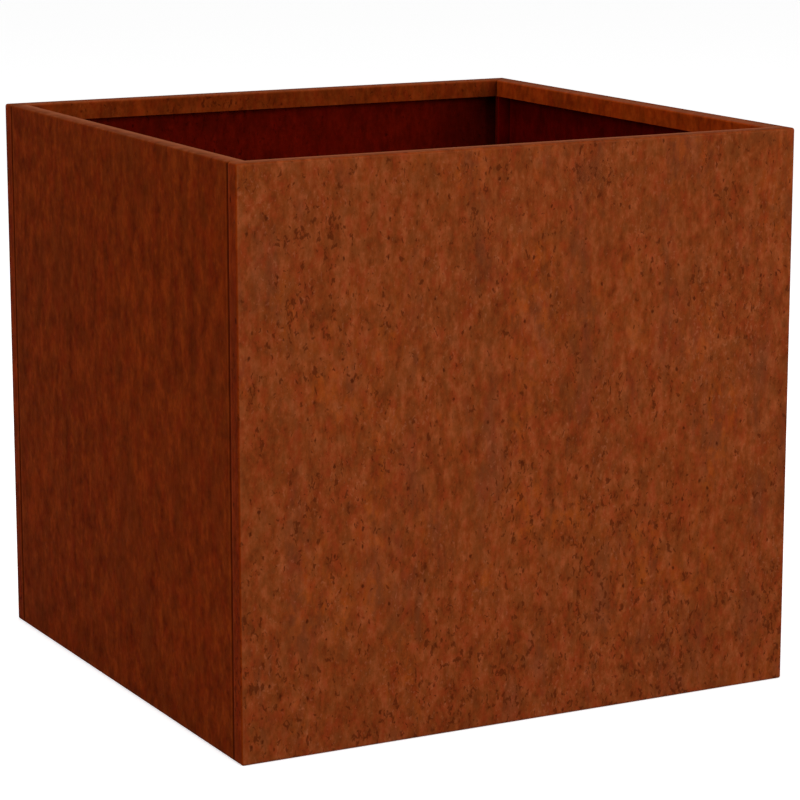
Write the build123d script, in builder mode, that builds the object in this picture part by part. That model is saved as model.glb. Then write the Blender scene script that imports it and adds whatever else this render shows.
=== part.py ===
# Planter box of weathering steel sheet. Four folded wall panels are screwed together
# inside the corners, and a floor sheet rests on their foot flanges, held by the lowest
# screws.
#
# Millimetres. The origin is the middle of the footprint, on the ground: +X to the right,
# -Y at the front and +Z up.

import os

from build123d import *

os.makedirs("parts", exist_ok=True)

# Outside of the box
width = 420.0
depth = 400.0
height = 390.0

# Sheet and its folds
sheet = 1.2
bend_inner = 0.6
bend_outer = bend_inner + sheet
flange = 13.0  # outer width of the rim, the foot, the side returns and the joint flanges
lip_drop = 13.0  # height of the lip that hangs from the rim's inner edge
fold_gap = 0.6  # slit between two folds of one panel
lip_end_round = 0.8

# Floor sheet
floor_gap = 1.0  # from the floor's edges to the walls
drain_diameter = 12.0
drain_spacing_x = 220.0
drain_spacing_y = 200.0
ear_margin = 8.0  # from the ear's screw up to its top edge

# M5 button-head screws, small washers and hexagon nuts
screw_diameter = 5.0
screw_length = 10.0
screw_tip = 0.6
screw_hole = 5.5
head_diameter = 9.5
head_height = 2.75
head_edge = 0.5
head_flat = 4.6
head_gap = 0.35  # from the head to the start of the fold beside it
socket_size = 3.0
socket_depth = 1.6
washer_diameter = 9.0
washer_hole = 5.3
washer_height = 1.0
nut_size = 8.0  # across the flats
nut_height = 4.7
nut_chamfer = 0.45
thread_gap = 0.05

# Heights of the screws in each corner, the lowest through the floor's ear
screw_low = 25.0
screw_high = height - 65.0
screw_middle = (screw_low + screw_high) / 2
wall_screws = [screw_middle, screw_high]
all_screws = [screw_low, screw_middle, screw_high]

# The joints between the panels, and the screws through them
joint_y = depth / 2 - flange
screw_x = width / 2 - bend_outer - head_gap - head_diameter / 2

sides = [-1, 1]
corners = {
    "front_left": (-1, -1),
    "front_right": (1, -1),
    "rear_left": (-1, 1),
    "rear_right": (1, 1),
}
low_centre = (Align.CENTER, Align.CENTER, Align.MIN)


# Front panel: face, rim with its lip, foot, and side returns that wrap round the corners
# and end in joint flanges
with BuildPart() as front_panel:
    with Locations((0, -depth / 2, 0)):
        Box(width, flange, height, align=(Align.CENTER, Align.MIN, Align.MIN))
    foot_edge = front_panel.edges().filter_by(Axis.X).group_by(Axis.Z)[0].sort_by(Axis.Y)[-1:]
    fillet(front_panel.edges() - foot_edge, radius=bend_outer)
    offset(amount=-sheet, mode=Mode.SUBTRACT)

    # Open back between the joint flanges, from the foot up to the lip
    with Locations((0, -joint_y, sheet)):
        Box(
            width - 2 * flange,
            2 * bend_outer,
            height - lip_drop - sheet,
            align=low_centre,
            mode=Mode.SUBTRACT,
        )

    # Slits between the lip's ends and the joint flanges
    slit_x = width / 2 - flange - fold_gap / 2
    with Locations(*[(side * slit_x, -joint_y, height - lip_drop) for side in sides]):
        Box(fold_gap, 2 * bend_outer, lip_drop - bend_outer, align=low_centre, mode=Mode.SUBTRACT)

    # Slits between the foot and the joint flanges
    cut_length = flange - bend_outer
    cut_x = width / 2 - flange + cut_length / 2
    with Locations(*[(side * cut_x, -joint_y, sheet) for side in sides]):
        Box(cut_length, 2 * bend_outer, fold_gap, align=low_centre, mode=Mode.SUBTRACT)

    # The rim stays flat in the corners, where the side panels' rims butt against it
    corner_x = width / 2 - flange / 2
    with Locations(*[(side * corner_x, -joint_y, height - sheet) for side in sides]):
        Box(flange - 2 * bend_outer, bend_outer, sheet, align=(Align.CENTER, Align.MAX, Align.MIN))

    # Screw holes in the joint flanges
    with BuildSketch(Plane.XZ.offset(joint_y)):
        with Locations(*[(side * screw_x, level) for side in sides for level in all_screws]):
            Circle(screw_hole / 2)
    extrude(amount=2 * sheet, both=True, mode=Mode.SUBTRACT)

front_panel.part.label = "front_panel"
export_step(front_panel.part, "parts/front_panel.step")

with BuildPart() as rear_panel:
    mirror(front_panel.part, about=Plane.XZ)

rear_panel.part.label = "rear_panel"
export_step(rear_panel.part, "parts/rear_panel.step")


# Left panel: face, rim with its lip, foot, and joint flanges straight off the face. It
# fits between the returns of the front and rear panels
with BuildPart() as left_panel:
    with Locations((-width / 2, 0, 0)):
        Box(flange, 2 * joint_y, height, align=(Align.MIN, Align.CENTER, Align.MIN))
    lip_fold = left_panel.edges().filter_by(Axis.Y).group_by(Axis.Z)[-1].sort_by(Axis.X)[-1:]
    face_folds = left_panel.faces().sort_by(Axis.X)[0].edges()
    fillet(face_folds + lip_fold, radius=bend_outer)
    offset(amount=-sheet, mode=Mode.SUBTRACT)

    # Open back, from the foot up to the lip
    with Locations((-width / 2 + flange, 0, sheet)):
        Box(
            2 * sheet,
            2 * joint_y,
            height - lip_drop - sheet,
            align=low_centre,
            mode=Mode.SUBTRACT,
        )

    # Rounded ends of the lip
    lip_ends = (
        left_panel.edges()
        .filter_by(Axis.Z)
        .filter_by_position(Axis.Z, height - lip_drop, height)
        .group_by(Axis.X)[-1]
    )
    fillet(lip_ends, radius=lip_end_round)

    # Screw holes in both joint flanges
    with BuildSketch(Plane.XZ):
        with Locations(*[(-screw_x, level) for level in all_screws]):
            Circle(screw_hole / 2)
    extrude(amount=depth / 2, both=True, mode=Mode.SUBTRACT)

left_panel.part.label = "left_panel"
export_step(left_panel.part, "parts/left_panel.step")

with BuildPart() as right_panel:
    mirror(left_panel.part, about=Plane.YZ)

right_panel.part.label = "right_panel"
export_step(right_panel.part, "parts/right_panel.step")


# Floor sheet, notched round the joint flanges, with an ear turned up against each joint.
# A quarter of it is made and mirrored
floor_x = width / 2 - sheet - floor_gap
floor_y = depth / 2 - sheet - floor_gap
notch_x = width / 2 - flange - floor_gap
notch_y = joint_y - sheet - bend_outer
ear_x = width / 2 - flange
ear_middle = joint_y - 1.5 * sheet
ear_top = screw_low + ear_margin

with BuildPart() as floor_panel:
    with BuildSketch(Plane.XY.offset(sheet)):
        with BuildLine():
            Polyline(
                (0, 0),
                (floor_x, 0),
                (floor_x, notch_y),
                (notch_x, notch_y),
                (notch_x, floor_y),
                (0, floor_y),
                close=True,
            )
        make_face()
    extrude(amount=sheet)

    with BuildSketch(Plane.YZ.offset(ear_x)):
        with BuildLine():
            FilletPolyline(
                (notch_y - bend_outer, 1.5 * sheet),
                (ear_middle, 1.5 * sheet),
                (ear_middle, ear_top),
                radius=bend_inner + sheet / 2,
            )
        trace(line_width=sheet)
    extrude(amount=floor_x - ear_x)

    mirror(about=Plane.XZ)
    mirror(about=Plane.YZ)

    # Drain holes
    with BuildSketch(Plane.XY.offset(sheet)):
        Circle(drain_diameter / 2)
        with GridLocations(drain_spacing_x, drain_spacing_y, 2, 2):
            Circle(drain_diameter / 2)
    extrude(amount=sheet, mode=Mode.SUBTRACT)

    # Screw holes in the ears
    with BuildSketch(Plane.XZ):
        with Locations(*[(side * screw_x, screw_low) for side in sides]):
            Circle(screw_hole / 2)
    extrude(amount=depth / 2, both=True, mode=Mode.SUBTRACT)

floor_panel.part.label = "floor_panel"
export_step(floor_panel.part, "parts/floor_panel.step")


# Button-head screw, with its seat at Z = 0 and its head above
with BuildPart() as screw:
    with BuildSketch(Plane.XZ):
        with BuildLine():
            dome = TangentArc((head_flat / 2, head_height), (head_diameter / 2, head_edge), tangent=(1, 0))
            Polyline(
                dome @ 1,
                (head_diameter / 2, 0),
                (screw_diameter / 2, 0),
                (screw_diameter / 2, screw_tip - screw_length),
                (screw_diameter / 2 - screw_tip, -screw_length),
                (0, -screw_length),
                (0, head_height),
                dome @ 0,
            )
        make_face()
    revolve(axis=Axis.Z)
    with BuildSketch(Plane.XY.offset(head_height)):
        RegularPolygon(socket_size / 2, 6, major_radius=False)
    extrude(amount=-socket_depth, mode=Mode.SUBTRACT)

# Washer and nut, standing on Z = 0
with BuildPart() as washer:
    Cylinder(washer_diameter / 2, washer_height, align=low_centre)
    Hole(washer_hole / 2)

with BuildPart() as nut:
    Cylinder(nut_size / 3**0.5, nut_height, align=low_centre)
    chamfer(nut.edges().filter_by(GeomType.CIRCLE), length=nut_chamfer)
    with BuildSketch():
        RegularPolygon(nut_size / 2, 6, major_radius=False, rotation=30)
    extrude(amount=nut_height, mode=Mode.INTERSECT)
    Hole(screw_diameter / 2 + thread_gap)


# Where a screw head seats, so many sheets in from the joint, with Z into the box
def head_seat(side_x, side_y, level, sheets):
    seat = (side_x * screw_x, side_y * (joint_y - sheets * sheet), level)
    return Plane(origin=seat, x_dir=(1, 0, 0), z_dir=(0, -side_y, 0))


# A place so far behind the front or rear panel's joint flange, with Z out of the box
def back_seat(side_x, side_y, level, behind):
    seat = (side_x * screw_x, side_y * (joint_y + sheet + behind), level)
    return Plane(origin=seat, x_dir=(1, 0, 0), z_dir=(0, side_y, 0))


# The screws, washers and nuts at the given corners and levels, one file for each kind
def fasten(name, places, sheets):
    fasteners = {
        "screws": (screw, [head_seat(*place, sheets) for place in places]),
        "washers": (washer, [back_seat(*place, 0) for place in places]),
        "nuts": (nut, [back_seat(*place, washer_height) for place in places]),
    }
    for kind, (piece, seats) in fasteners.items():
        with BuildPart() as group:
            with Locations(*seats):
                add(piece.part)
        group.part.label = f"{name}_{kind}"
        export_step(group.part, f"parts/{name}_{kind}.step")


for corner, side in corners.items():
    fasten(corner, [(*side, level) for level in wall_screws], sheets=1)

fasten("floor", [(*side, screw_low) for side in corners.values()], sheets=2)
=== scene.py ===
import math

import bpy
from mathutils import Matrix, Vector


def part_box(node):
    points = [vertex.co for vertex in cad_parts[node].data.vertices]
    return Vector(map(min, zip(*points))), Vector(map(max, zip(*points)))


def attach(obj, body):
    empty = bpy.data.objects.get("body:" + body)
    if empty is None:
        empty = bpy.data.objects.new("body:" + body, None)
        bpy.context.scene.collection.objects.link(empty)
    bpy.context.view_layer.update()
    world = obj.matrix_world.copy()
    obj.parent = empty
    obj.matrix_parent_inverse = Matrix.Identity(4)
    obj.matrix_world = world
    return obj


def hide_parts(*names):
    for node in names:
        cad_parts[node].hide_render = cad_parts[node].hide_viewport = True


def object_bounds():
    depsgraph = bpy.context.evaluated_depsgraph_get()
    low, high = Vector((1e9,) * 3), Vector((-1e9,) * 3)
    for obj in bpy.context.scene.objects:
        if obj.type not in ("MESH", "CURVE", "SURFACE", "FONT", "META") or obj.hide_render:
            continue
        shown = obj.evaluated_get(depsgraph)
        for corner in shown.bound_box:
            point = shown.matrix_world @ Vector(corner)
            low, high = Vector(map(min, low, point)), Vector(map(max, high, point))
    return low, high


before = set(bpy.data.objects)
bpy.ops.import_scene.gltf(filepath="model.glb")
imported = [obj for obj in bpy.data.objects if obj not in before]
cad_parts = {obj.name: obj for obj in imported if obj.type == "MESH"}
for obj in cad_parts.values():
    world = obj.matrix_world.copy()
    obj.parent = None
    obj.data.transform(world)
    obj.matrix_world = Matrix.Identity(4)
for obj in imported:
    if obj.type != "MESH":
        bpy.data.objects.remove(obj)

cadLow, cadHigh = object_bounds()
print("frame loaded:", len(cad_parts), "nodes")

boxSize = {
    "halfWidth": cadHigh.x,
    "halfDepth": cadHigh.y,
    "height": cadHigh.z,
    "sheet": 0.0012,
    "flange": 0.013,      # width of the rim, and depth of the corner joints
    "lipDrop": 0.013,
}

bpy.ops.object.select_all(action="DESELECT")


# Small helpers for building node trees

def addNode(tree, kind, inputs=None, **settings):
    made = tree.nodes.new(kind)
    for name, value in settings.items():
        setattr(made, name, value)
    for name, value in (inputs or {}).items():
        socket = made.inputs[name]
        if isinstance(value, bpy.types.NodeSocket):
            tree.links.new(value, socket)
        else:
            socket.default_value = value
    return made


def mathNode(tree, operation, first, second=0.0, third=0.0, clamp=False):
    return addNode(tree, "ShaderNodeMath", {0: first, 1: second, 2: third},
                   operation=operation, use_clamp=clamp).outputs[0]


def vectorNode(tree, operation, first, second=(0, 0, 0), third=(0, 0, 0)):
    return addNode(tree, "ShaderNodeVectorMath", {0: first, 1: second, 2: third},
                   operation=operation).outputs[0]


def scaledVector(tree, vector, factor):
    return addNode(tree, "ShaderNodeVectorMath", {0: vector, "Scale": factor}, operation="SCALE").outputs[0]


def noiseNode(tree, vector, scale, detail=3.0, rough=0.5, distort=0.0):
    return addNode(tree, "ShaderNodeTexNoise", {"Vector": vector, "Scale": scale, "Detail": detail,
                   "Roughness": rough, "Distortion": distort}).outputs["Fac"]


def rangeNode(tree, value, fromLow, fromHigh, toLow=0.0, toHigh=1.0, smooth=True):
    return addNode(tree, "ShaderNodeMapRange", {"Value": value, "From Min": fromLow, "From Max": fromHigh,
                   "To Min": toLow, "To Max": toHigh},
                   interpolation_type="SMOOTHSTEP" if smooth else "LINEAR").outputs["Result"]


def mixColor(tree, amount, first, second, blend="MIX"):
    made = addNode(tree, "ShaderNodeMix", data_type="RGBA", blend_type=blend)
    for index, value in ((0, amount), (6, first), (7, second)):
        if isinstance(value, bpy.types.NodeSocket):
            tree.links.new(value, made.inputs[index])
        else:
            made.inputs[index].default_value = value
    return made.outputs[2]


def newGroup(name, inputs, outputs):
    tree = bpy.data.node_groups.new(name, "ShaderNodeTree")
    for label, kind, value in inputs:
        socket = tree.interface.new_socket(label, in_out="INPUT", socket_type=kind)
        if value is not None:
            socket.default_value = value
    for label, kind in outputs:
        tree.interface.new_socket(label, in_out="OUTPUT", socket_type=kind)
    return tree, tree.nodes.new("NodeGroupInput").outputs, tree.nodes.new("NodeGroupOutput").inputs


def useGroup(tree, group, inputs):
    return addNode(tree, "ShaderNodeGroup", inputs, node_tree=group).outputs


def stretched(tree, vector, scale, shift=(0, 0, 0)):
    moved = addNode(tree, "ShaderNodeMapping", {"Vector": vector, "Location": shift, "Scale": scale})
    return moved.outputs["Vector"]


# Shared effects of weathered steel, and masks for painted light and shade on the box

mottleSizes = {          # noise scales, then how much each adds
    "fine": 350, "middle": 130, "broad": 30, "hue": 140, "hueBroad": 24,
    "cluster": 19, "flake": 110, "smoke": 50,
    "fineShare": 0.38, "middleShare": 0.62, "broadShare": 0.1, "hueShare": 0.87, "hueBroadShare": 0.13,
}


def makeRustMottle():
    # Soft blotches of several sizes, pulled out up and down the sheet
    size = mottleSizes
    tree, given, out = newGroup(
        "rustMottle",
        [("Vector", "NodeSocketVector", None), ("Scale", "NodeSocketFloat", 1.0),
         ("Stretch", "NodeSocketFloat", 1.0), ("Contrast", "NodeSocketFloat", 1.0)],
        [("Tone", "NodeSocketFloat"), ("Hue", "NodeSocketFloat"), ("Bloom", "NodeSocketFloat"),
         ("Smoke", "NodeSocketFloat")],
    )
    tall = mathNode(tree, "DIVIDE", given["Scale"], given["Stretch"])
    ratio = addNode(tree, "ShaderNodeCombineXYZ", {0: given["Scale"], 1: given["Scale"], 2: tall})
    vector = vectorNode(tree, "MULTIPLY", given["Vector"], ratio.outputs[0])

    fine = noiseNode(tree, stretched(tree, vector, (1, 1, 0.62)), size["fine"], 3, 0.6)
    middle = noiseNode(tree, stretched(tree, vector, (1, 1, 0.5), (3, 1, 2)), size["middle"], 3, 0.65)
    broad = noiseNode(tree, stretched(tree, vector, (1, 1, 0.6), (7, 4, 9)), size["broad"], 3, 0.5)
    summed = mathNode(tree, "MULTIPLY", middle, size["middleShare"])
    summed = mathNode(tree, "MULTIPLY_ADD", fine, size["fineShare"], summed)
    summed = mathNode(tree, "MULTIPLY_ADD", broad, size["broadShare"], summed)
    middleOfSum = (size["fineShare"] + size["middleShare"] + size["broadShare"]) / 2
    centred = mathNode(tree, "SUBTRACT", summed, middleOfSum)
    tree.links.new(mathNode(tree, "MULTIPLY_ADD", centred, given["Contrast"], 0.5, clamp=True), out["Tone"])

    # Redder and browner places
    first = noiseNode(tree, stretched(tree, vector, (1, 1, 0.55), (9, 2, 4)), size["hue"], 4, 0.7)
    second = noiseNode(tree, stretched(tree, vector, (1, 1, 0.6), (2, 5, 8)), size["hueBroad"], 2, 0.5)
    hue = mathNode(tree, "MULTIPLY", second, size["hueBroadShare"])
    hue = mathNode(tree, "MULTIPLY_ADD", first, size["hueShare"], hue)
    tree.links.new(rangeNode(tree, hue, 0.36, 0.64, smooth=False), out["Hue"])

    # Orange bloom gathers in upright clusters
    cluster = noiseNode(tree, stretched(tree, vector, (1, 1, 0.45), (2, 8, 5)), size["cluster"], 2, 0.5)
    flake = noiseNode(tree, stretched(tree, vector, (1, 1, 0.55), (5, 3, 1)), size["flake"], 4, 0.7, 0.3)
    cluster, flake = rangeNode(tree, cluster, 0.46, 0.68), rangeNode(tree, flake, 0.45, 0.68)
    tree.links.new(mathNode(tree, "MULTIPLY", cluster, flake), out["Bloom"])

    # Dull smoky runs
    smoke = noiseNode(tree, stretched(tree, vector, (1, 1, 0.3), (1, 6, 3)), size["smoke"], 4, 0.62, 0.3)
    tree.links.new(rangeNode(tree, smoke, 0.5, 0.7), out["Smoke"])
    return tree


# For each kind of run, its shift, and where its mask starts and is full
streakKinds = {"Light": ((0, 0, 0), 0.50, 0.74), "Dark": ((4, 9, 2), 0.52, 0.76)}


def makeRainStreaks():
    # Narrow runs left by rain, light and dark
    tree, given, out = newGroup(
        "rainStreaks",
        [("Vector", "NodeSocketVector", None), ("Width", "NodeSocketFloat", 1.0)],
        [("Light", "NodeSocketFloat"), ("Dark", "NodeSocketFloat")],
    )
    vector = scaledVector(tree, given["Vector"], mathNode(tree, "DIVIDE", 1.0, given["Width"]))
    for label, (shift, start, full) in streakKinds.items():
        lines = noiseNode(tree, stretched(tree, vector, (1, 1, 0.07), shift), 260, 2, 0.55)
        broken = noiseNode(tree, stretched(tree, vector, (1, 1, 0.3), shift), 42, 2, 0.5)
        lines, broken = rangeNode(tree, lines, start, full), rangeNode(tree, broken, 0.38, 0.6)
        tree.links.new(mathNode(tree, "MULTIPLY", lines, broken), out[label])
    return tree


pitShape = {"wobble": 420.0, "push": 0.0022, "tall": 0.6, "smallest": 0.45, "largest": 1.25}


def makeRustPits():
    # Dark pits of uneven size: a share of the cells holds one
    shape = pitShape
    tree, given, out = newGroup(
        "rustPits",
        [("Vector", "NodeSocketVector", None), ("Cells", "NodeSocketFloat", 200.0),
         ("Share", "NodeSocketFloat", 0.3), ("Radius", "NodeSocketFloat", 0.25)],
        [("Pit", "NodeSocketFloat")],
    )
    wobble = addNode(tree, "ShaderNodeTexNoise",
                     {"Vector": given["Vector"], "Scale": shape["wobble"], "Detail": 2.0})
    push = vectorNode(tree, "SUBTRACT", wobble.outputs["Color"], (0.5, 0.5, 0.5))
    pushed = vectorNode(tree, "MULTIPLY_ADD", push, (shape["push"],) * 3, given["Vector"])
    cells = addNode(tree, "ShaderNodeTexVoronoi", {"Vector": stretched(tree, pushed, (1, 1, shape["tall"])),
                    "Scale": given["Cells"], "Randomness": 1.0})
    dice = addNode(tree, "ShaderNodeSeparateColor", {"Color": cells.outputs["Color"]})
    chosen = mathNode(tree, "LESS_THAN", dice.outputs[0], given["Share"])
    uneven = rangeNode(tree, dice.outputs[1], 0, 1, shape["smallest"], shape["largest"], False)
    radius = mathNode(tree, "MULTIPLY", given["Radius"], uneven)
    edge = mathNode(tree, "DIVIDE", cells.outputs["Distance"], radius)
    spot = rangeNode(tree, edge, 0.3, 1.0, 1.0, 0.0)
    tree.links.new(mathNode(tree, "MULTIPLY", spot, chosen), out["Pit"])
    return tree


fleckShape = {"ragged": 520, "crowd": 30, "start": 0.83, "crowding": -0.28, "thinning": -0.1}


def makeRustFlecks():
    # Ragged specks and short ticks, thick in some places and missing in others
    shape = fleckShape
    tree, given, out = newGroup(
        "rustFlecks",
        [("Vector", "NodeSocketVector", None), ("Scale", "NodeSocketFloat", 1.0),
         ("Density", "NodeSocketFloat", 0.5)],
        [("Fleck", "NodeSocketFloat")],
    )
    vector = scaledVector(tree, given["Vector"], given["Scale"])
    ragged = noiseNode(tree, stretched(tree, vector, (1, 1, 0.62)), shape["ragged"], 3, 0.55, 0.5)
    crowd = noiseNode(tree, stretched(tree, vector, (1, 1, 0.7), (6, 2, 7)), shape["crowd"], 2, 0.5)
    start = mathNode(tree, "MULTIPLY_ADD", crowd, shape["crowding"], shape["start"])
    start = mathNode(tree, "MULTIPLY_ADD", given["Density"], shape["thinning"], start)
    over = mathNode(tree, "SUBTRACT", ragged, start)
    tree.links.new(rangeNode(tree, over, -0.015, 0.07), out["Fleck"])
    return tree


# Metres. Pairs are where a mask starts and where it ends
placeSpans = {
    "touching": (0.0001, 0.0005),        # on an outer face
    "rimTop": (0.0001, 0.0009),
    "sideFace": (0.0001, 0.0007),
    "outerFold": (0.0019, 0.0026),       # as deep as the folds at the corners
    "underRim": (0.0004, 0.0015),
    "groove": (0.0006, 0.0019),
    "shoulderNear": (0.0012, 0.0021),
    "shoulderFar": (0.0026, 0.0042),
    "lipTop": (0.0001, 0.0012),
    "lipFoot": (0.0130, 0.0136),
    "lipDepth": (0.0095, 0.0112),
    "besideJoint": (0.0135, 0.0260),
    "underLip": (0.0130, 0.0210),
    "onWall": (0.0028, 0.0040),
    "onFlange": (0.0030, 0.0140),
    "nearSeam": (0.0016, 0.0024),
    "mouthBandAcross": (0.0006, 0.0100),
    "mouthBandDown": (0.0004, 0.0022),
    "mouthFold": 0.0012,                 # from the lip to the middle of the rim's inner fold
    "rearOpen": 0.5,
}


def spanMask(tree, value, name, low=0.0, high=1.0):
    return rangeNode(tree, value, *placeSpans[name], low, high)


def makeBoxPlaces():
    # Masks for places on the box, such as its folded edges, its inside and the joints' grooves, mostly for
    # painted light and shade
    tree, given, out = newGroup(
        "boxPlaces",
        [("Vector", "NodeSocketVector", None), ("Edge Width", "NodeSocketFloat", 0.002),
         ("Foot Height", "NodeSocketFloat", 0.05)],
        [("Edge", "NodeSocketFloat"), ("Foot", "NodeSocketFloat"), ("Inside", "NodeSocketFloat"),
         ("Seam", "NodeSocketFloat"), ("Shoulder", "NodeSocketFloat"), ("Open", "NodeSocketFloat"),
         ("PaintedShadow", "NodeSocketFloat"), ("MouthBand", "NodeSocketFloat"), ("Lip", "NodeSocketFloat"),
         ("Return", "NodeSocketFloat")],
    )
    axes = addNode(tree, "ShaderNodeSeparateXYZ", {0: given["Vector"]}).outputs
    offX = mathNode(tree, "SUBTRACT", boxSize["halfWidth"], mathNode(tree, "ABSOLUTE", axes["X"]))
    offY = mathNode(tree, "SUBTRACT", boxSize["halfDepth"], mathNode(tree, "ABSOLUTE", axes["Y"]))
    offTop = mathNode(tree, "SUBTRACT", boxSize["height"], axes["Z"])
    near = [mathNode(tree, "DIVIDE", off, given["Edge Width"]) for off in (offX, offY, offTop)]

    # Painted highlight: an edge is where two outer faces are both near
    pairs = []
    for first, second in ((0, 1), (0, 2), (1, 2)):
        away = mathNode(tree, "MAXIMUM", near[first], near[second])
        pairs.append(rangeNode(tree, away, 0.35, 1.0, 1.0, 0.0))
    edge = mathNode(tree, "MAXIMUM", mathNode(tree, "MAXIMUM", pairs[0], pairs[1]), pairs[2])
    tree.links.new(edge, out["Edge"])

    foot = mathNode(tree, "DIVIDE", axes["Z"], given["Foot Height"])
    tree.links.new(rangeNode(tree, foot, 0.0, 1.0, 1.0, 0.0), out["Foot"])

    # The inside of the box, below the lip, where the inside tint paints its shade
    wall = mathNode(tree, "MINIMUM", offX, offY)
    behind = rangeNode(tree, wall, boxSize["sheet"] * 0.4, boxSize["sheet"] * 0.8)
    below = rangeNode(tree, offTop, boxSize["lipDrop"] * 0.97, boxSize["lipDrop"] * 1.1)
    inside = mathNode(tree, "MULTIPLY", behind, below)
    tree.links.new(inside, out["Inside"])

    # The groove between a side panel and the return beside it, up to the rim, darkened as painted shade, and
    # its two shoulders, lightened as painted highlights
    fromSeam = mathNode(tree, "ABSOLUTE", mathNode(tree, "SUBTRACT", offY, boxSize["flange"]))
    outer = mathNode(tree, "MULTIPLY", spanMask(tree, offX, "outerFold", 1, 0),
                     spanMask(tree, offTop, "underRim"))
    groove = spanMask(tree, fromSeam, "groove", 1, 0)
    tree.links.new(mathNode(tree, "MULTIPLY", groove, outer), out["Seam"])
    raised = mathNode(tree, "MULTIPLY", spanMask(tree, fromSeam, "shoulderNear"),
                      spanMask(tree, fromSeam, "shoulderFar", 1, 0))
    tree.links.new(mathNode(tree, "MULTIPLY", raised, outer), out["Shoulder"])

    # Painted shade falls on all but the front face and the top of the rim, and on the rear face at half
    # strength
    offFront = mathNode(tree, "ADD", axes["Y"], boxSize["halfDepth"])
    unshadedWalls = mathNode(tree, "MAXIMUM", spanMask(tree, offFront, "touching", 1, 0),
                         spanMask(tree, offY, "touching", placeSpans["rearOpen"], 0))
    unshadedFace = mathNode(tree, "MAXIMUM", unshadedWalls, spanMask(tree, offTop, "rimTop", 1, 0))
    tree.links.new(unshadedFace, out["Open"])

    # The lip that hangs from the rim, and the strips that wrap round the corners: their tints adjust the
    # painted shade there
    hanging = mathNode(tree, "MULTIPLY", spanMask(tree, offTop, "lipTop"),
                       spanMask(tree, offTop, "lipFoot", 1, 0))
    hanging = mathNode(tree, "MULTIPLY", hanging, spanMask(tree, wall, "lipDepth"))
    tree.links.new(hanging, out["Lip"])
    tree.links.new(spanMask(tree, offX, "sideFace", 1, 0), out["Return"])

    # Painted shadow inside, beside the joint flanges and up under the lip
    beside = mathNode(tree, "MAXIMUM", spanMask(tree, offX, "besideJoint", 1, 0),
                      spanMask(tree, offY, "besideJoint", 0.8, 0))
    tucked = spanMask(tree, offTop, "underLip", 1, 0)
    shadowed = mathNode(tree, "MULTIPLY", mathNode(tree, "MAXIMUM", beside, tucked),
                     spanMask(tree, wall, "onWall", 1, 0))
    onFlange = mathNode(tree, "MULTIPLY", spanMask(tree, offX, "onFlange", 0.95, 0.75),
                        spanMask(tree, fromSeam, "nearSeam", 1, 0))
    shadowed = mathNode(tree, "MAXIMUM", shadowed, onFlange)
    tree.links.new(mathNode(tree, "MULTIPLY", shadowed, inside), out["PaintedShadow"])

    # A lighter band along the rounded inner edge of the rim
    toFold = boxSize["flange"] - placeSpans["mouthFold"]
    fromMouth = mathNode(tree, "ABSOLUTE", mathNode(tree, "SUBTRACT", wall, toFold))
    mouthBand = mathNode(tree, "MULTIPLY", spanMask(tree, fromMouth, "mouthBandAcross", 1, 0),
                      spanMask(tree, offTop, "mouthBandDown", 1, 0))
    tree.links.new(mouthBand, out["MouthBand"])
    return tree


rustMottle = makeRustMottle()
rainStreaks = makeRainStreaks()
rustPits = makeRustPits()
rustFlecks = makeRustFlecks()
boxPlaces = makeBoxPlaces()
print("shared effects built")

faceFinish = {
    "dark": (0.105, 0.0175, 0.0034, 1),
    "middle": (0.168, 0.0320, 0.0062, 1),
    "light": (0.245, 0.0540, 0.0150, 1),
    "red": (0.205, 0.0240, 0.0060, 1),
    "brown": (0.132, 0.0345, 0.0080, 1),
    "bloom": (0.310, 0.0560, 0.0050, 1),
    "smoke": (0.100, 0.0260, 0.0110, 1),
    "pitAndGrooveShade": (0.040, 0.0058, 0.0013, 1),
    "blot": (0.066, 0.0105, 0.0022, 1),
    "fleck": (0.330, 0.1000, 0.0420, 1),
    "edge": (0.285, 0.0800, 0.0320, 1),
    "paintedShadow": (0.012, 0.0004, 0.0002, 1),
    "shadeTint": (0.98, 0.60, 0.15, 1),     # painted shade: deepens all but the unshaded faces, and the next three tint their places as painted shade
    "insideTint": (1.50, 0.36, 0.80, 1),
    "lipTint": (0.88, 0.97, 2.00, 1),
    "returnTint": (0.84, 0.72, 0.90, 1),
    "scale": 1.0, "stretch": 1.0, "mottle": 2.6, "hueShare": 0.5, "bloomShare": 0.42, "smokeShare": 0.4,
    "lightRuns": 0.12, "darkRuns": 0.30, "pits": 0.8, "flecks": 0.75, "fleckDensity": 0.6,
    "footFlecks": 0.4, "paleFlecks": 0.25, "mouthBand": 0.8,
    "edgeShare": 0.12, "shoulderShare": 0.22, "seamShare": 0.75, "paintedShadowShare": 0.8,
    "edgeWidth": 0.0022, "footHeight": 0.24,      # metres
    "pitCells": 150.0, "pitShare": 0.2, "pitRadius": 0.24,
    "fleckScale": 0.62, "paleScale": 0.9, "paleDensity": 0.5,
    "rough": 0.9, "smoother": -0.12, "specular": 0.035, "specularTint": (0.9, 0.4, 0.15, 1),
    "grain": 850, "pitDepth": -1.2, "fleckDepth": -0.7, "bump": 0.25, "bumpHeight": 0.0004,
}
rearFinish = {**faceFinish, "mouthBand": 0.25}
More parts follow.
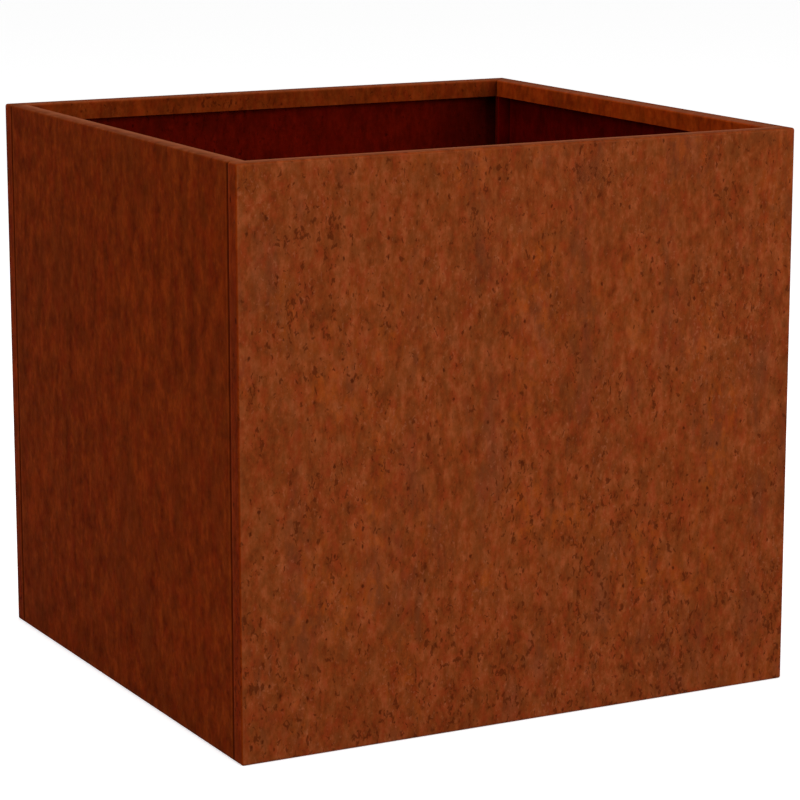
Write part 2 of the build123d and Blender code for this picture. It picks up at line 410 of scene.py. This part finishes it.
sideFinish = {
    **faceFinish,
    # Painted shade on the side panels: a deeper shade tint, a deep red inside, and a lip lifted out of part
    # of the shade
    "shadeTint": (0.77, 0.44, 0.05, 1),
    "insideTint": (3.30, 0.17, 1.0, 1),
    "lipTint": (2.10, 2.10, 5.00, 1),
    "returnTint": (1.0, 1.0, 1.0, 1),
    "scale": 0.55, "stretch": 0.8, "mottle": 3.2, "hueShare": 0.45, "bloomShare": 0.3,
    "lightRuns": 0.18, "darkRuns": 0.25, "pits": 0.4, "flecks": 0.35, "fleckDensity": 0.2,
    "footFlecks": 0.3, "paleFlecks": 0.15,
}
rightFinish = {**sideFinish, "mouthBand": 0.4}
floorFinish = {
    **faceFinish,
    # painted shade on the floor inside the box
    "insideTint": (0.55, 0.50, 0.80, 1),
    "mottle": 3.4, "bloomShare": 0.2, "smokeShare": 0.8, "lightRuns": 0.0, "darkRuns": 0.0,
    "flecks": 0.7, "fleckDensity": 1.0,
}


def makeRust(name, finish, shift):
    material = bpy.data.materials.new(name)
    material.use_nodes = True
    tree = material.node_tree
    shader = tree.nodes["Principled BSDF"]
    here = addNode(tree, "ShaderNodeTexCoord").outputs["Object"]
    moved = stretched(tree, here, (1, 1, 1), shift)
    elsewhere = stretched(tree, here, (1, 1, 1), (shift[1] + 0.9, shift[2] + 0.4, shift[0] + 0.6))

    mottle = useGroup(tree, rustMottle, {"Vector": moved, "Scale": finish["scale"],
                      "Stretch": finish["stretch"], "Contrast": finish["mottle"]})
    runs = useGroup(tree, rainStreaks, {"Vector": moved, "Width": 1.0})
    places = useGroup(tree, boxPlaces, {"Vector": here, "Edge Width": finish["edgeWidth"],
                      "Foot Height": finish["footHeight"]})
    density = mathNode(tree, "MULTIPLY_ADD", places["Foot"], finish["footFlecks"], finish["fleckDensity"])
    pits = useGroup(tree, rustPits, {"Vector": moved, "Cells": finish["pitCells"],
                    "Share": finish["pitShare"], "Radius": finish["pitRadius"]})["Pit"]
    flecks = useGroup(tree, rustFlecks, {"Vector": moved, "Scale": finish["fleckScale"],
                      "Density": density})["Fleck"]
    pale = useGroup(tree, rustFlecks, {"Vector": elsewhere, "Scale": finish["paleScale"],
                    "Density": finish["paleDensity"]})["Fleck"]

    ramp = addNode(tree, "ShaderNodeValToRGB", {"Fac": mottle["Tone"]})
    stops = ramp.color_ramp.elements
    stops[0].position, stops[0].color = 0.1, finish["dark"]
    stops[1].position, stops[1].color = 0.9, finish["light"]
    stops.new(0.5).color = finish["middle"]
    color = ramp.outputs["Color"]
    redder = rangeNode(tree, mottle["Hue"], 0.5, 1.0, smooth=False)
    browner = rangeNode(tree, mottle["Hue"], 0.5, 0.0, smooth=False)
    for amount, mask, tone in (
        (finish["hueShare"], redder, "red"),
        (finish["hueShare"], browner, "brown"),
        (finish["smokeShare"], mottle["Smoke"], "smoke"),
        (finish["bloomShare"], mottle["Bloom"], "bloom"),
        (finish["lightRuns"], runs["Light"], "light"),
        (finish["darkRuns"], runs["Dark"], "dark"),
        (finish["paleFlecks"], pale, "fleck"),
        (finish["pits"], pits, "pitAndGrooveShade"),
        (finish["flecks"], flecks, "blot"),
        # painted highlight along the outer folded edges
        (finish["edgeShare"], places["Edge"], "edge"),
        # painted highlight on the two shoulders of the seam groove
        (finish["shoulderShare"], places["Shoulder"], "edge"),
        # a lighter band along the rim's rounded inner edge
        (finish["mouthBand"], places["MouthBand"], "edge"),
    ):
        color = mixColor(tree, mathNode(tree, "MULTIPLY", mask, amount), color, finish[tone])
    # Painted shade, tinted onto the faces turned from the light, the inside of the box, the lip and the
    # corner returns
    shaded = mathNode(tree, "SUBTRACT", 1.0, places["Open"])
    for mask, tint in ((shaded, "shadeTint"), (places["Lip"], "lipTint"),
                       (places["Inside"], "insideTint"), (places["Return"], "returnTint")):
        color = mixColor(tree, mask, color, finish[tint], "MULTIPLY")
    for amount, mask, tone in (
        # painted shade in the seam groove
        (finish["seamShare"], places["Seam"], "pitAndGrooveShade"),
        # painted shadow inside, beside the joint flanges and under the lip
        (finish["paintedShadowShare"], places["PaintedShadow"], "paintedShadow"),
    ):
        color = mixColor(tree, mathNode(tree, "MULTIPLY", mask, amount), color, finish[tone])
    tree.links.new(color, shader.inputs["Base Color"])

    rough = mathNode(tree, "MULTIPLY_ADD", mottle["Tone"], finish["smoother"], finish["rough"])
    tree.links.new(rough, shader.inputs["Roughness"])
    shader.inputs["Specular IOR Level"].default_value = finish["specular"]
    shader.inputs["Specular Tint"].default_value = finish["specularTint"]

    height = noiseNode(tree, moved, finish["grain"], 4, 0.7)
    height = mathNode(tree, "MULTIPLY_ADD", flecks, finish["fleckDepth"], height)
    height = mathNode(tree, "MULTIPLY_ADD", pits, finish["pitDepth"], height)
    bump = addNode(tree, "ShaderNodeBump", {"Height": height, "Strength": finish["bump"],
                   "Distance": finish["bumpHeight"]})
    tree.links.new(bump.outputs["Normal"], shader.inputs["Normal"])
    return material


def dress(node, material):
    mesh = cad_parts[node].data
    mesh.materials.clear()
    mesh.materials.append(material)


for node, name, finish, shift in (
    ("front_panel", "frontRust", faceFinish, (0.13, 0.31, 0.07)),
    ("rear_panel", "rearRust", rearFinish, (0.13, 0.31, 0.07)),
    ("left_panel", "leftRust", sideFinish, (0.42, 0.18, 0.26)),
    ("right_panel", "rightRust", rightFinish, (0.42, 0.18, 0.26)),
    ("floor_panel", "floorRust", floorFinish, (0.71, 0.05, 0.33)),
):
    dress(node, makeRust(name, finish, shift))
print("rust finishes made")


zincFinish = {
    "color": (0.42, 0.41, 0.40, 1), "tarnish": (0.16, 0.075, 0.04, 1), "stains": 420,
    "rough": 0.38, "stainRough": 0.35, "stainMetal": -0.8,
}


def makeZinc():
    material = bpy.data.materials.new("dullZinc")
    material.use_nodes = True
    tree = material.node_tree
    shader = tree.nodes["Principled BSDF"]
    here = addNode(tree, "ShaderNodeTexCoord").outputs["Object"]
    stain = rangeNode(tree, noiseNode(tree, here, zincFinish["stains"], 4, 0.65), 0.46, 0.66)
    color = mixColor(tree, stain, zincFinish["color"], zincFinish["tarnish"])
    rough = mathNode(tree, "MULTIPLY_ADD", stain, zincFinish["stainRough"], zincFinish["rough"])
    metal = mathNode(tree, "MULTIPLY_ADD", stain, zincFinish["stainMetal"], 1.0)
    tree.links.new(color, shader.inputs["Base Color"])
    tree.links.new(rough, shader.inputs["Roughness"])
    tree.links.new(metal, shader.inputs["Metallic"])
    return material


dullZinc = makeZinc()


def selectOnly(*pieces):
    bpy.ops.object.select_all(action="DESELECT")
    for piece in pieces:
        piece.select_set(True)
    bpy.context.view_layer.objects.active = pieces[0]


def settle(piece):
    # Its place goes into its mesh
    selectOnly(piece)
    bpy.ops.object.transform_apply(location=True, rotation=True, scale=True)


def useModifier(piece, kind, **settings):
    selectOnly(piece)
    made = piece.modifiers.new(kind.lower(), kind)
    for name, value in settings.items():
        setattr(made, name, value)
    bpy.ops.object.modifier_apply(modifier=made.name)


def cutWith(piece, tool, operation="DIFFERENCE"):
    useModifier(piece, "BOOLEAN", operation=operation, solver="EXACT", object=tool)
    selectOnly(tool)
    bpy.ops.object.delete()


def addCylinder(sides, radius, low, high):
    bpy.ops.mesh.primitive_cylinder_add(vertices=sides, radius=radius, depth=high - low,
                                        location=(0, 0, (low + high) / 2))
    piece = bpy.context.object
    settle(piece)
    return piece


screwSize = {
    "headRadius": 0.00475, "headHeight": 0.00275, "headEdge": 0.0005, "headFlat": 0.0023, "rings": 6,
    "socket": 0.0030, "socketDepth": 0.0016,
    "length": 0.010, "root": 0.0021, "pitch": 0.0008, "turnSteps": 20, "tip": 0.0006,
}
washerSize = {"radius": 0.0045, "hole": 0.00265, "height": 0.0010, "rounding": 0.00012}
nutSize = {"acrossFlats": 0.0080, "hole": 0.00255, "height": 0.0047, "chamfer": 0.00045}


def makeScrewHead():
    size = screwSize
    bpy.ops.mesh.primitive_circle_add(vertices=40, radius=size["headRadius"], fill_type="NGON")
    head = bpy.context.object
    bpy.ops.object.mode_set(mode="EDIT")
    bpy.ops.mesh.extrude_region_move(TRANSFORM_OT_translate={"value": (0, 0, size["headEdge"])})

    # The dome is drawn up and in, ring by ring, along an arc that ends flat
    rise = size["headHeight"] - size["headEdge"]
    reach = size["headRadius"] - size["headFlat"]
    bend = (reach**2 + rise**2) / (2 * rise)
    start = math.asin((bend - rise) / bend)
    height, radius = size["headEdge"], size["headRadius"]
    for ring in range(1, size["rings"] + 1):
        angle = start + (math.pi / 2 - start) * ring / size["rings"]
        newHeight = size["headHeight"] - bend + bend * math.sin(angle)
        newRadius = size["headFlat"] + bend * math.cos(angle)
        bpy.ops.mesh.extrude_region_move(TRANSFORM_OT_translate={"value": (0, 0, newHeight - height)})
        factor = newRadius / radius
        bpy.ops.transform.resize(value=(factor, factor, 1), center_override=(0, 0, newHeight))
        height, radius = newHeight, newRadius
    bpy.ops.mesh.select_all(action="SELECT")
    bpy.ops.mesh.normals_make_consistent(inside=False)
    bpy.ops.object.mode_set(mode="OBJECT")

    socket = addCylinder(6, size["socket"] / math.sqrt(3), size["headHeight"] - size["socketDepth"],
                         size["headHeight"] + 0.001)
    cutWith(head, socket)
    return head


def makeThread():
    # One notch of the thread, swept round and down the shank
    size = screwSize
    half = size["pitch"] / 2
    bpy.ops.mesh.primitive_plane_add(size=half * math.sqrt(2), location=(size["root"], 0, -size["length"]),
                                     rotation=(math.pi / 2, math.pi / 4, 0))
    thread = bpy.context.object
    settle(thread)
    bpy.ops.object.mode_set(mode="EDIT")
    bpy.ops.mesh.select_mode(type="VERT")
    bpy.ops.mesh.select_all(action="DESELECT")
    bpy.ops.object.mode_set(mode="OBJECT")
    for vertex in thread.data.vertices:
        vertex.select = vertex.co.x < size["root"] - half / 2
    bpy.ops.object.mode_set(mode="EDIT")
    bpy.ops.mesh.delete(type="VERT")
    bpy.ops.object.mode_set(mode="OBJECT")
    turns = math.ceil(size["length"] / size["pitch"]) + 1
    useModifier(thread, "SCREW", axis="Z", screw_offset=size["pitch"], iterations=turns,
                steps=size["turnSteps"], render_steps=size["turnSteps"])

    # Trimmed flat at the head and at the tip
    bpy.ops.object.mode_set(mode="EDIT")
    bpy.ops.mesh.select_all(action="SELECT")
    bpy.ops.mesh.remove_doubles(threshold=0.00001)
    bpy.ops.mesh.select_all(action="SELECT")
    bpy.ops.mesh.bisect(plane_co=(0, 0, 0.0003), plane_no=(0, 0, 1), use_fill=True, clear_outer=True)
    bpy.ops.mesh.select_all(action="SELECT")
    bpy.ops.mesh.bisect(plane_co=(0, 0, size["tip"] - size["length"]), plane_no=(0, 0, 1), use_fill=True,
                        clear_inner=True)
    bpy.ops.mesh.extrude_region_move(TRANSFORM_OT_translate={"value": (0, 0, -size["tip"])})
    bpy.ops.transform.resize(value=(0.8, 0.8, 1), center_override=(0, 0, -size["length"]))
    bpy.ops.mesh.select_all(action="SELECT")
    bpy.ops.mesh.normals_make_consistent(inside=False)
    bpy.ops.object.mode_set(mode="OBJECT")
    return thread


def makeScrew():
    head, thread = makeScrewHead(), makeThread()
    selectOnly(head, thread)
    bpy.ops.object.join()
    return head


def makeWasher():
    size = washerSize
    washer = addCylinder(48, size["radius"], 0, size["height"])
    cutWith(washer, addCylinder(48, size["hole"], -0.001, size["height"] + 0.001))
    useModifier(washer, "BEVEL", width=size["rounding"], segments=2, limit_method="ANGLE", angle_limit=1.0)
    return washer


def makeNut():
    # A hexagon trimmed by a chamfered round bar, then bored
    size = nutSize
    radius = size["acrossFlats"] / math.sqrt(3)
    nut = addCylinder(6, radius, 0, size["height"])
    bar = addCylinder(64, radius, 0, size["height"])
    useModifier(bar, "BEVEL", width=size["chamfer"], segments=1, limit_method="ANGLE", angle_limit=1.0)
    cutWith(nut, bar, "INTERSECT")
    cutWith(nut, addCylinder(40, size["hole"], -0.001, size["height"] + 0.001))
    return nut


def fastenerPlaces(group):
    # Middles of the fasteners in a group, as (x, side, z), from the washers' box
    low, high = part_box(group + "_washers")
    radius = washerSize["radius"]
    spans = {}
    for axis in ("x", "z"):
        first, last = getattr(low, axis) + radius, getattr(high, axis) - radius
        spans[axis] = [first, last] if last - first > radius else [(first + last) / 2]
    sides = [-1, 1] if low.y < 0 < high.y else [math.copysign(1, low.y)]
    return [(x, side, z) for x in spans["x"] for side in sides for z in spans["z"]]


def fit(pattern, kind, length, intoBox):
    for group in ("front_left", "front_right", "rear_left", "rear_right", "floor"):
        node = group + "_" + kind
        low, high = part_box(node)
        outer = max(abs(low.y), abs(high.y))
        copies = []
        for index, (x, side, z) in enumerate(fastenerPlaces(group)):
            selectOnly(pattern)
            bpy.ops.object.duplicate()
            made = bpy.context.object
            facing = side if intoBox else -side
            turn = Matrix.Rotation(facing * math.pi / 2, 4, "X") @ Matrix.Rotation(0.7 + 1.9 * index, 4, "Z")
            made.matrix_world = Matrix.Translation((x, side * (outer - length), z)) @ turn
            settle(made)
            copies.append(made)
        selectOnly(*copies)
        bpy.ops.object.join()
        bpy.ops.object.shade_smooth_by_angle(angle=math.radians(35))
        piece = bpy.context.object
        piece.name = "fitted_" + node
        piece.data.name = piece.name
        piece.data.materials.clear()
        piece.data.materials.append(dullZinc)
        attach(piece, "root")
        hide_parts(node)
    selectOnly(pattern)
    bpy.ops.object.delete()
    print("fitted", kind)


fit(makeScrew(), "screws", screwSize["length"], True)
fit(makeWasher(), "washers", washerSize["height"], False)
fit(makeNut(), "nuts", nutSize["height"], False)


# Studio: pale floor, soft lights and the camera

studio = {
    "floorSize": 16.0,
    "floorTone": (0.86, 0.86, 0.86, 1),
    "floorLift": 0.67,     # paler to the camera than the light it throws back
    "backTone": (1.0, 1.0, 1.0, 1),
    "skyStrength": 0.34,
}
camera = {
    "place": (-0.9972, -1.8974, 0.6242),
    "turn": -27.99,       # degrees, from looking along +Y
    "dip": 11.59,         # degrees below the horizon
    "lens": 136.75,
}
# name, place, the point it faces, width, height, watts
softLights = [
    ("keyLight", (1.1, -2.7, 1.05), (0, 0, 0.15), 1.8, 1.2, 45),
    ("fillLight", (-2.5, -0.8, 1.35), (0, 0, 0.3), 1.4, 1.2, 15),
    ("topLight", (-0.4, -0.2, 2.6), (0, 0, 0.3), 2.2, 2.2, 28),
]


def makeStudio():
    bpy.ops.mesh.primitive_plane_add(size=studio["floorSize"], location=(0, 0, 0))
    floor = bpy.context.object
    floor.name = "studioFloor"
    tone = bpy.data.materials.new("paleFloor")
    tone.use_nodes = True
    tree = tone.node_tree
    shader = tree.nodes["Principled BSDF"]
    shader.inputs["Base Color"].default_value = studio["floorTone"]
    shader.inputs["Roughness"].default_value = 0.9
    shader.inputs["Specular IOR Level"].default_value = 0.1
    shader.inputs["Emission Strength"].default_value = studio["floorLift"]
    seen = addNode(tree, "ShaderNodeLightPath").outputs["Is Camera Ray"]
    axes = addNode(tree, "ShaderNodeSeparateXYZ", {0: addNode(tree, "ShaderNodeTexCoord").outputs["Object"]})
    pastWidth, pastDepth = (
        mathNode(tree, "SUBTRACT", mathNode(tree, "ABSOLUTE", axes.outputs[axis]), half)
        for axis, half in (("X", boxSize["halfWidth"]), ("Y", boxSize["halfDepth"]))
    )
    away = mathNode(tree, "MAXIMUM", pastWidth, pastDepth)
    beyond = rangeNode(tree, away, -0.02, 0.01)      # no lift under the box
    glow = mixColor(tree, mathNode(tree, "MULTIPLY", seen, beyond), (0, 0, 0, 1), (1, 1, 1, 1))
    tree.links.new(glow, shader.inputs["Emission Color"])
    floor.data.materials.append(tone)

    world = bpy.data.worlds.new("paleSurround")
    bpy.context.scene.world = world
    world.use_nodes = True
    tree = world.node_tree
    sky = tree.nodes["Background"]
    sky.inputs["Color"].default_value = studio["backTone"]
    seen = addNode(tree, "ShaderNodeLightPath").outputs["Is Camera Ray"]
    strength = rangeNode(tree, seen, 0, 1, studio["skyStrength"], 1.0, False)
    tree.links.new(strength, sky.inputs["Strength"])

    for name, place, target, wide, tall, watts in softLights:
        bpy.ops.object.light_add(type="AREA", location=place)
        light = bpy.context.object
        light.name = name
        light.data.shape = "RECTANGLE"
        light.data.size, light.data.size_y, light.data.energy = wide, tall, watts
        light.rotation_euler = (Vector(target) - Vector(place)).to_track_quat("-Z", "Y").to_euler()


def makeCamera():
    bpy.ops.object.camera_add(location=camera["place"])
    made = bpy.context.object
    made.name = "viewCamera"
    made.rotation_euler = (math.radians(90 - camera["dip"]), 0, math.radians(camera["turn"]))
    made.data.lens = camera["lens"]
    bpy.context.scene.camera = made


makeStudio()
makeCamera()
bpy.context.scene.view_settings.view_transform = "Standard"
print("studio and camera set")
